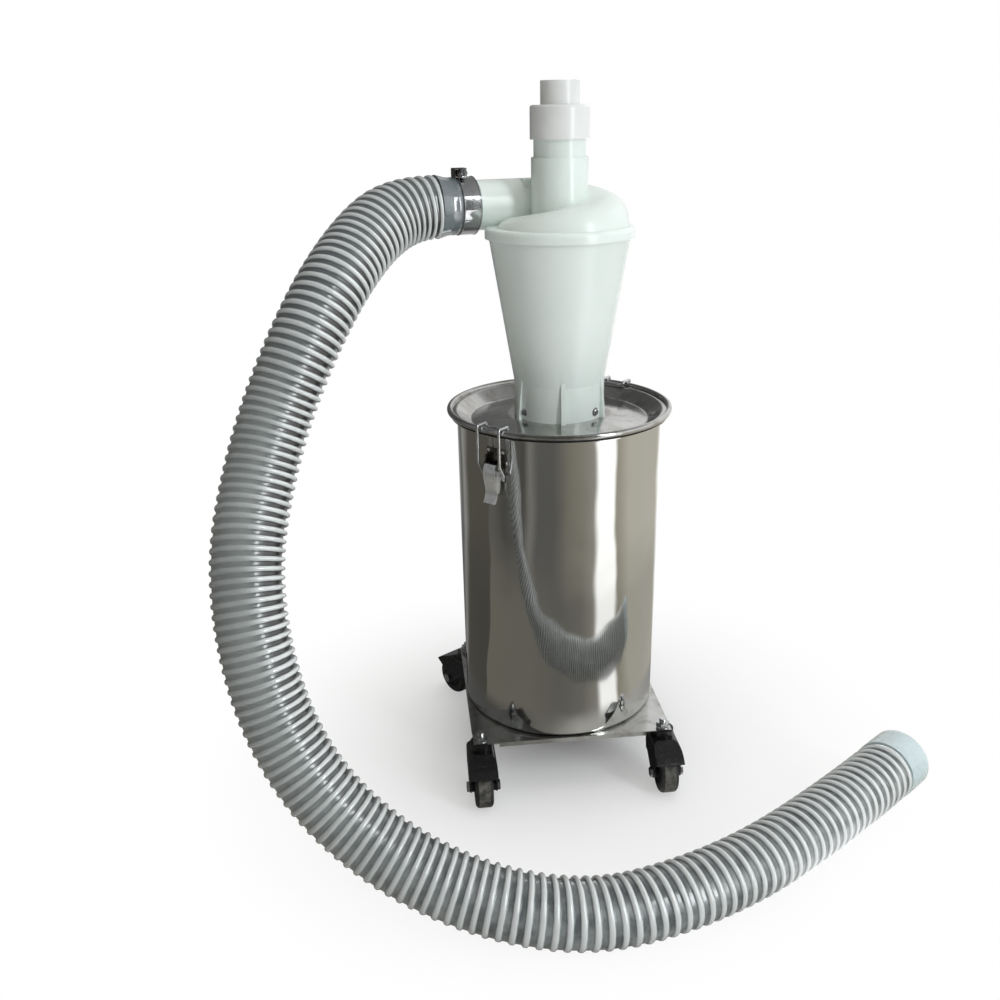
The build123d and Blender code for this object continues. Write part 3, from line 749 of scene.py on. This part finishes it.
def add_clamp_detail(chrome, dark):
    """Rolled edges, screw head and thread of the hose clamp, and the worm slots on its back half."""
    edge_inset, edge_thickness = 0.0008, 0.0007
    head_reach = 0.017  # head's place from the middle of the screw
    head_radius, head_height, head_inset = 0.0058, 0.005, 0.001
    washer_radius, washer_height, washer_inset = 0.0066, 0.0012, 0.003
    thread_count, thread_start, thread_pitch = 7, 0.0098, 0.001
    thread_radius, thread_thickness = 0.0034, 0.0004
    middle = INLET_ORIGIN + INLET_WAY * (CLAMP_START + CLAMP_WIDTH / 2)
    shape = bmesh.new()
    for end in (-1, 1):
        edge = middle + INLET_WAY * (end * (CLAMP_WIDTH / 2 - edge_inset))
        add_ring(shape, edge, INLET_WAY, CLAMP_RADIUS, edge_thickness)
    screw = INLET_ORIGIN + INLET_WAY * CLAMP_SCREW_ALONG + UP * CLAMP_SCREW_UP
    head = screw - INLET_SIDE * head_reach
    add_disc(shape, head + INLET_SIDE * head_inset, -INLET_SIDE, head_radius, head_height, 6, 0.2)
    add_disc(shape, head + INLET_SIDE * washer_inset, INLET_SIDE, washer_radius, washer_height, 28, 0.3)
    for thread in range(thread_count):
        place = screw + INLET_SIDE * (thread_start + thread_pitch * thread)
        add_ring(shape, place, INLET_SIDE, thread_radius, thread_thickness, 32, 6)
    finish_piece("clamp_edges_and_head", shape, chrome, "stand")

    slot_count, slot_slant, slot_lift = 46, 0.16, 0.00005
    slot_size = (0.0125, 0.0015, 0.0003)
    head_slot_size = (0.0085, 0.0014, 0.0003)
    slots = bmesh.new()
    for index in range(slot_count):
        out = spoke(UP, INLET_SIDE, index, slot_count)
        under_the_housing = out.z > 0.93
        on_the_back = out.dot(INLET_SIDE) >= 0.1
        if on_the_back and not under_the_housing:
            along = (INLET_WAY + out.cross(INLET_WAY) * slot_slant).normalized()
            add_block(slots, middle + out * (CLAMP_RADIUS + slot_lift), out, along, slot_size)
    head_face = head - INLET_SIDE * (head_height - head_inset - slot_lift)
    add_block(slots, head_face, INLET_SIDE, UP, head_slot_size)
    finish_piece("clamp_slots", slots, dark, "stand", False)


def add_latch_detail(zinc):
    """Rivets of the latch plates and heads of the lever pins."""
    half_width = 0.0118
    half_height = 0.019
    plate_lift = 0.0012
    rivet_radius, rivet_height = 0.0024, 0.0014
    pin_radius, pin_height = 0.0032, 0.0012
    for where, angle in LATCH_ANGLES.items():
        out = around(angle)
        across = out.cross(UP)
        pin = out * LATCH_PIVOT_RADIUS + UP * LATCH_PIVOT_HEIGHT
        shape = bmesh.new()
        for side in (-1, 1):
            tilt = side * half_width / DRUM_RADIUS
            way = (out * cos(tilt) + across * sin(tilt)).normalized()
            for height in (-half_height, half_height):
                place = way * (DRUM_RADIUS + plate_lift) + UP * (LATCH_PIVOT_HEIGHT + height)
                add_disc(shape, place, way, rivet_radius, rivet_height, 20, 0.5)
            pin_end = pin + across * (side * half_width)
            add_disc(shape, pin_end, across * side, pin_radius, pin_height, 20, 0.4)
        finish_piece(f"latch_rivets_{where}", shape, zinc, "stand")


def add_castor_detail(zinc, nylon):
    """Washers and threads on the stems, and rings and spokes on the hubs."""
    washer_lift, washer_radius, washer_thickness = 0.0006, 0.0092, 0.0007
    thread_count, thread_start, thread_pitch = 5, 0.0088, 0.0011
    thread_radius, thread_thickness = 0.0049, 0.0005
    hub_half = 0.012
    rim_radius, rim_thickness = 0.0182, 0.0012
    boss_radius, boss_thickness = 0.0105, 0.0010
    spoke_count, spoke_middle = 6, 0.0143
    spoke_size = (0.0075, 0.0022, 0.0016)
    shape = bmesh.new()
    for corner, turn in CASTOR_TURNS.items():
        side_x = 1 if "right" in corner else -1
        side_y = 1 if "rear" in corner else -1
        stem = Vector((side_x * CASTOR_HALF, side_y * CASTOR_HALF, PLATE_TOP))
        add_ring(shape, stem + UP * washer_lift, UP, washer_radius, washer_thickness, 36, 8)
        for thread in range(thread_count):
            place = stem + UP * (thread_start + thread_pitch * thread)
            add_ring(shape, place, UP, thread_radius, thread_thickness, 28, 6)
        axle = around(turn)
        ahead = around(turn - 90.0)
        wheel = Vector((stem.x, stem.y, WHEEL_RADIUS)) + ahead * CASTOR_TRAIL
        rings = bmesh.new()
        for side in (-1, 1):
            face = wheel + axle * (side * hub_half)
            add_ring(rings, face, axle, rim_radius, rim_thickness, 48, 8)
            add_ring(rings, face, axle, boss_radius, boss_thickness, 36, 8)
            for index in range(spoke_count):
                way = spoke(UP, axle.cross(UP), index, spoke_count)
                add_block(rings, face + way * spoke_middle, axle, way, spoke_size)
        finish_piece(f"hub_rings_{corner}", rings, nylon, f"wheel_{corner}")
    finish_piece("stem_threads", shape, zinc, "stand")


def add_drum_seam(steel):
    """The drum's welded seam, down its back."""
    seam_angle = 100.0
    seam_length = DRUM_RIM - DRUM_FOOT - 0.004
    seam_width, seam_height = 0.0022, 0.0006
    shape = bmesh.new()
    out = around(seam_angle)
    middle = out * DRUM_RADIUS + UP * ((DRUM_FOOT + DRUM_RIM) / 2)
    add_block(shape, middle, out, UP, (seam_length, seam_width, seam_height))
    finish_piece("drum_seam", shape, steel, "stand", False)


def soften_edges():
    """A fine bevel on the hard edges of the steel and plastic fittings."""
    widths = {
        "base_plate": 0.0004,
        "castor_fork": 0.0008,
        "castor_axle": 0.0006,
        "castor_stem": 0.0006,
        "clamp_housing": 0.0005,
        "clamp_screw": 0.0004,
        "latch_bracket": 0.0003,
        "latch_lever": 0.0004,
        "outlet": 0.0006,
        "hose_end_cuff": 0.0008,
    }
    for name, node in nodes.items():
        for start, width in widths.items():
            if name.startswith(start):
                bevel = node.modifiers.new("fine_bevel", "BEVEL")
                bevel.width = width
                bevel.segments = 2
                bevel.limit_method = "ANGLE"
                bevel.angle_limit = radians(40)


def grey(light, warmth=0.0):
    """A light level as a colour, less blue the warmer it is."""
    return (light, light * (1 - warmth / 4), light * (1 - warmth))


def add_card(name, mesh, light_of, strength=1.0):
    """A light card that only reflections see, lit by the colour that a function makes from nodes."""
    card = bpy.data.objects.new(name, mesh)
    bpy.context.scene.collection.objects.link(card)
    card.visible_camera = False
    card.visible_diffuse = False
    card.visible_shadow = False
    card.visible_transmission = False
    card.visible_volume_scatter = False
    material = bpy.data.materials.new(name)
    material.use_nodes = True
    tree = material.node_tree
    tree.nodes.clear()
    glow = add_node(tree, "ShaderNodeEmission")
    set_inputs(glow, Strength=strength)
    output = add_node(tree, "ShaderNodeOutputMaterial")
    tree.links.new(light_of(tree), glow.inputs["Color"])
    tree.links.new(glow.outputs["Emission"], output.inputs["Surface"])
    mesh.materials.append(material)


def room_round_the_drum(tree):
    """Soft light and dark round the drum, as a workshop floor shows in polished steel."""
    coordinates = add_node(tree, "ShaderNodeTexCoord")
    radial = add_node(tree, "ShaderNodeTexGradient", gradient_type="RADIAL")
    tree.links.new(coordinates.outputs["Object"], radial.inputs["Vector"])
    # Degrees round from the left, half the light, and its warmth
    right_side = [
        (119, 0.22, 0.14),
        (124, 1.00, 0.0),
        (142, 1.00, 0.0),
        (146, 0.24, 0.22),
        (163, 0.36, 0.16),
        (195, 0.35, 0.14),
        (220, 0.31, 0.18),
        (236, 0.66, 0.0),
        (262, 0.30, 0.0),
        (296, 0.06, 0.0),
        (307, 0.18, 0.05),
        (320, 0.06, 0.2),
    ]
    near_dimming = 0.75
    near_side = [(18, 0.10, 0.2), (52, 0.10, 0.18), (82, 0.085, 0.14), (105, 0.105, 0.14)]
    near_side += [(angle, near_dimming * level, warmth) for angle, level, warmth in right_side]
    far_side = [(5, 0.08, 0.14), (22, 0.05, 0.1), (34, 0.065, 0.1), (43, 0.05, 0.1), (50, 0.14, 0.12)]
    far_side += [(58, 0.075, 0.05), (74, 0.075, 0.07), (83, 0.1, 0.14), (92, 0.14, 0.2), (105, 0.17, 0.2)]
    far_side += right_side
    under_plate = [(0, 0.01, 0.0), (360, 0.01, 0.0)]
    apron = [(40, 0.05, 0.1), (75, 0.12, 0.1), (100, 0.26, 0.05)]
    apron += [(170, 0.26, 0.05), (230, 0.1, 0.0), (300, 0.05, 0.0)]

    def ring_light(ring):
        stops = [(angle / 360, grey(level, warmth)) for angle, level, warmth in ring]
        return colour_ramp(tree, radial.outputs["Fac"], *stops)

    # Rings from the middle outwards, with the distances over which each takes over from the last
    distance = distance_from_origin(tree)
    light = ring_light(under_plate)
    for ring, start, full in ((apron, 0.19, 0.22), (near_side, 0.29, 0.36), (far_side, 0.65, 1.15)):
        share = mapped(tree, distance, "SMOOTHSTEP", From_Min=start, From_Max=full)
        light = mixed_colour(tree, share, light, ring_light(ring))
    return light


def sideways_light(*levels):
    """The light of a card that runs from left to right through a few levels."""
    def light_of(tree):
        coordinates = add_node(tree, "ShaderNodeTexCoord")
        split = add_node(tree, "ShaderNodeSeparateXYZ")
        tree.links.new(coordinates.outputs["Generated"], split.inputs["Vector"])
        return colour_ramp(tree, split.outputs["X"], *[(place, grey(level)) for place, level in levels])
    return light_of


def disc_mesh(name, radius, height):
    """A flat disc at a height over the floor."""
    shape = bmesh.new()
    bmesh.ops.create_circle(shape, cap_ends=True, radius=radius, segments=96)
    for vertex in shape.verts:
        vertex.co.z = height
    return drawn_mesh(name, shape)


def wall_mesh(name, radius, height, first_angle, last_angle):
    """A curved upright wall between two angles round the object."""
    floor_gap = 0.002
    steps = 48
    shape = bmesh.new()
    columns = []
    for step in range(steps + 1):
        out = around(first_angle + (last_angle - first_angle) * step / steps)
        columns.append([shape.verts.new(out * radius + UP * level) for level in (floor_gap, height)])
    for first, second in zip(columns, columns[1:]):
        shape.faces.new([first[0], second[0], second[1], first[1]])
    return drawn_mesh(name, shape)


def add_cards():
    """The floor that the drum mirrors, dark flags round the left and front, and a grey one overhead."""
    radius, height = 3.4, 3.2
    add_card("floor_card", disc_mesh("floor_card", 4.0, 0.0015), room_round_the_drum, 2.0)
    left = sideways_light((0.0, 0.2), (0.2, 0.08), (0.70, 0.13), (0.80, 0.22), (0.92, 0.8), (1.0, 1.0))
    add_card("left_flag", wall_mesh("left_flag", radius, height, 70.0, 250.0), left)
    front = sideways_light((0.0, 0.06), (1.0, 0.14))
    add_card("front_flag", wall_mesh("front_flag", radius, height, 250.0, 306.0), front)
    top = sideways_light((0.0, 0.06), (0.5, 0.18), (1.0, 0.6))
    add_card("top_flag", disc_mesh("top_flag", radius, height), top)


def seen_as_background(tree):
    """1 for the rays that show the background: straight ones, reflections and rays through glass."""
    path = add_node(tree, "ShaderNodeLightPath")
    total = path.outputs["Is Camera Ray"]
    for name in ("Is Glossy Ray", "Is Transmission Ray"):
        larger = add_node(tree, "ShaderNodeMath", operation="MAXIMUM")
        tree.links.new(total, larger.inputs[0])
        tree.links.new(path.outputs[name], larger.inputs[1])
        total = larger.outputs["Value"]
    return total


def add_world():
    """White background, also in reflections; as light a soft room, brighter above and to the right."""
    world = bpy.data.worlds.new("surroundings")
    bpy.context.scene.world = world
    world.use_nodes = True
    tree = world.node_tree
    coordinates = add_node(tree, "ShaderNodeTexCoord")
    split = add_node(tree, "ShaderNodeSeparateXYZ")
    tree.links.new(coordinates.outputs["Generated"], split.inputs["Vector"])
    levels = [(0.0, 0.22), (0.3, 0.2), (0.46, 0.36), (0.75, 0.8), (1.0, 0.95)]
    room = colour_ramp(tree, split.outputs["Z"], *[(height, grey(level)) for height, level in levels])
    sideways = mapped(tree, split.outputs["X"], From_Min=-1.0, To_Min=0.04, To_Max=1.15)
    sides = colour_ramp(tree, sideways, (0.2, grey(1.0, 0.24)), (1.0, grey(1.0, -0.05)))
    tinted = add_node(tree, "ShaderNodeVectorMath", operation="MULTIPLY")
    lit = add_node(tree, "ShaderNodeVectorMath", operation="SCALE")
    tree.links.new(room, tinted.inputs[0])
    tree.links.new(sides, tinted.inputs[1])
    tree.links.new(tinted.outputs["Vector"], lit.inputs[0])
    tree.links.new(sideways, lit.inputs["Scale"])
    colour = mixed_colour(tree, seen_as_background(tree), lit.outputs["Vector"], (1, 1, 1))
    tree.links.new(colour, tree.nodes["Background"].inputs["Color"])


def add_floor():
    """Pale floor that turns white with distance."""
    bpy.ops.mesh.primitive_plane_add(size=60)
    ground = bpy.context.object
    ground.name = "pale_floor"
    finish = Finish("pale_floor")
    finish.set(Base_Color=(0.93, 0.93, 0.93, 1.0), Roughness=0.95)
    tree = finish.tree
    far = mapped(tree, distance_from_origin(tree), "SMOOTHSTEP", From_Min=-0.12, From_Max=0.6)
    share = add_node(tree, "ShaderNodeMath", operation="MULTIPLY")
    white = add_node(tree, "ShaderNodeEmission")
    mix = add_node(tree, "ShaderNodeMixShader")
    tree.links.new(far, share.inputs[0])
    tree.links.new(seen_as_background(tree), share.inputs[1])
    tree.links.new(share.outputs["Value"], mix.inputs["Fac"])
    tree.links.new(finish.shader.outputs["BSDF"], mix.inputs[1])
    tree.links.new(white.outputs["Emission"], mix.inputs[2])
    tree.links.new(mix.outputs["Shader"], tree.nodes["Material Output"].inputs["Surface"])
    ground.data.materials.append(finish.material)


def add_lamps():
    """Soft lamps aimed at the middle of the object; only the key shows in reflections."""
    target = Vector((0, 0, 0.5))
    cool, cooler = (0.965, 1.0, 1.0), (0.93, 0.995, 1.0)
    # Place and size in metres, power in watts, colour
    for name, place, size, power, colour in (
        ("key_lamp", (1.62, -1.88, 1.35), (0.4, 2.4), 29, cooler),
        ("front_lamp", (0.3, -2.3, 1.7), (1.6, 1.6), 8, cool),
        ("fill_lamp", (-1.9, -1.6, 1.8), (2.2, 2.2), 3, cool),
        ("top_lamp", (0.4, 0.2, 2.9), (1.8, 1.8), 15, cool),
    ):
        data = bpy.data.lights.new(name, "AREA")
        data.shape = "RECTANGLE"
        data.size, data.size_y = size
        data.energy = power
        data.color = colour
        lamp = bpy.data.objects.new(name, data)
        lamp.location = place
        aim = target - Vector(place)
        lamp.rotation_euler = aim.to_track_quat("-Z", "Y").to_euler()
        lamp.visible_glossy = name == "key_lamp"
        bpy.context.scene.collection.objects.link(lamp)


add_camera()
grey_cuff = cuff_plastic("grey_cuff", (0.11, 0.135, 0.15), (0.19, 0.22, 0.235), 1.0)
pale_cuff = cuff_plastic("pale_cuff", (0.53, 0.63, 0.66), (0.66, 0.75, 0.78), 0.4)
add_hose(add_hose_end(grey_cuff))
give(pale_cuff, "hose_end_cuff")

drum_steel = polished_steel()
give(drum_steel, "drum_shell")
give(sheet_steel(), "drum_lid", "drum_bottom", "base_plate")
give(gasket_rubber(), "lid_gasket")
give(moulded_plastic(), "cyclone")
give(pipe_plastic(), "outlet")

zinc = bright_zinc()
paint = black_paint()
nylon = wheel_plastic()
tyre_side = tyre_rubber("tyre_rubber", (0.014, 0.014, 0.015), (0.06, 0.058, 0.055))
tyre_tread = tyre_rubber("dusty_tread", (0.03, 0.03, 0.029), (0.2, 0.187, 0.168))
give(zinc, "castor_axle", "latch_bail")
give(paint, "castor_fork")
give(nylon, "castor_hub")
give_by_face(zinc, paint, "castor_stem", under_the_plate)
give_by_face(tyre_side, tyre_tread, "castor_tyre", on_the_tread)

# Painted highlight: a paler, less metallic copy of the zinc for the latch levers and rivets
lit_latch_plate = latch_zinc_lit()
chrome = clamp_chrome()
give(lit_latch_plate, "latch_lever")
give(chrome, "clamp_band")
# Painted shade: the clamp's screw and housing and the latch brackets get a dark metal in place of their
# zinc
give(painted_shade_metal(), "clamp_housing", "clamp_screw", "latch_bracket")

add_foot_screws(zinc)
add_clamp_detail(chrome, dark_slot())
add_latch_detail(lit_latch_plate)
add_castor_detail(zinc, nylon)
add_drum_seam(drum_steel)
soften_edges()
add_floor()
add_lamps()
add_cards()
add_world()

view = bpy.context.scene.view_settings
view.view_transform = "Standard"
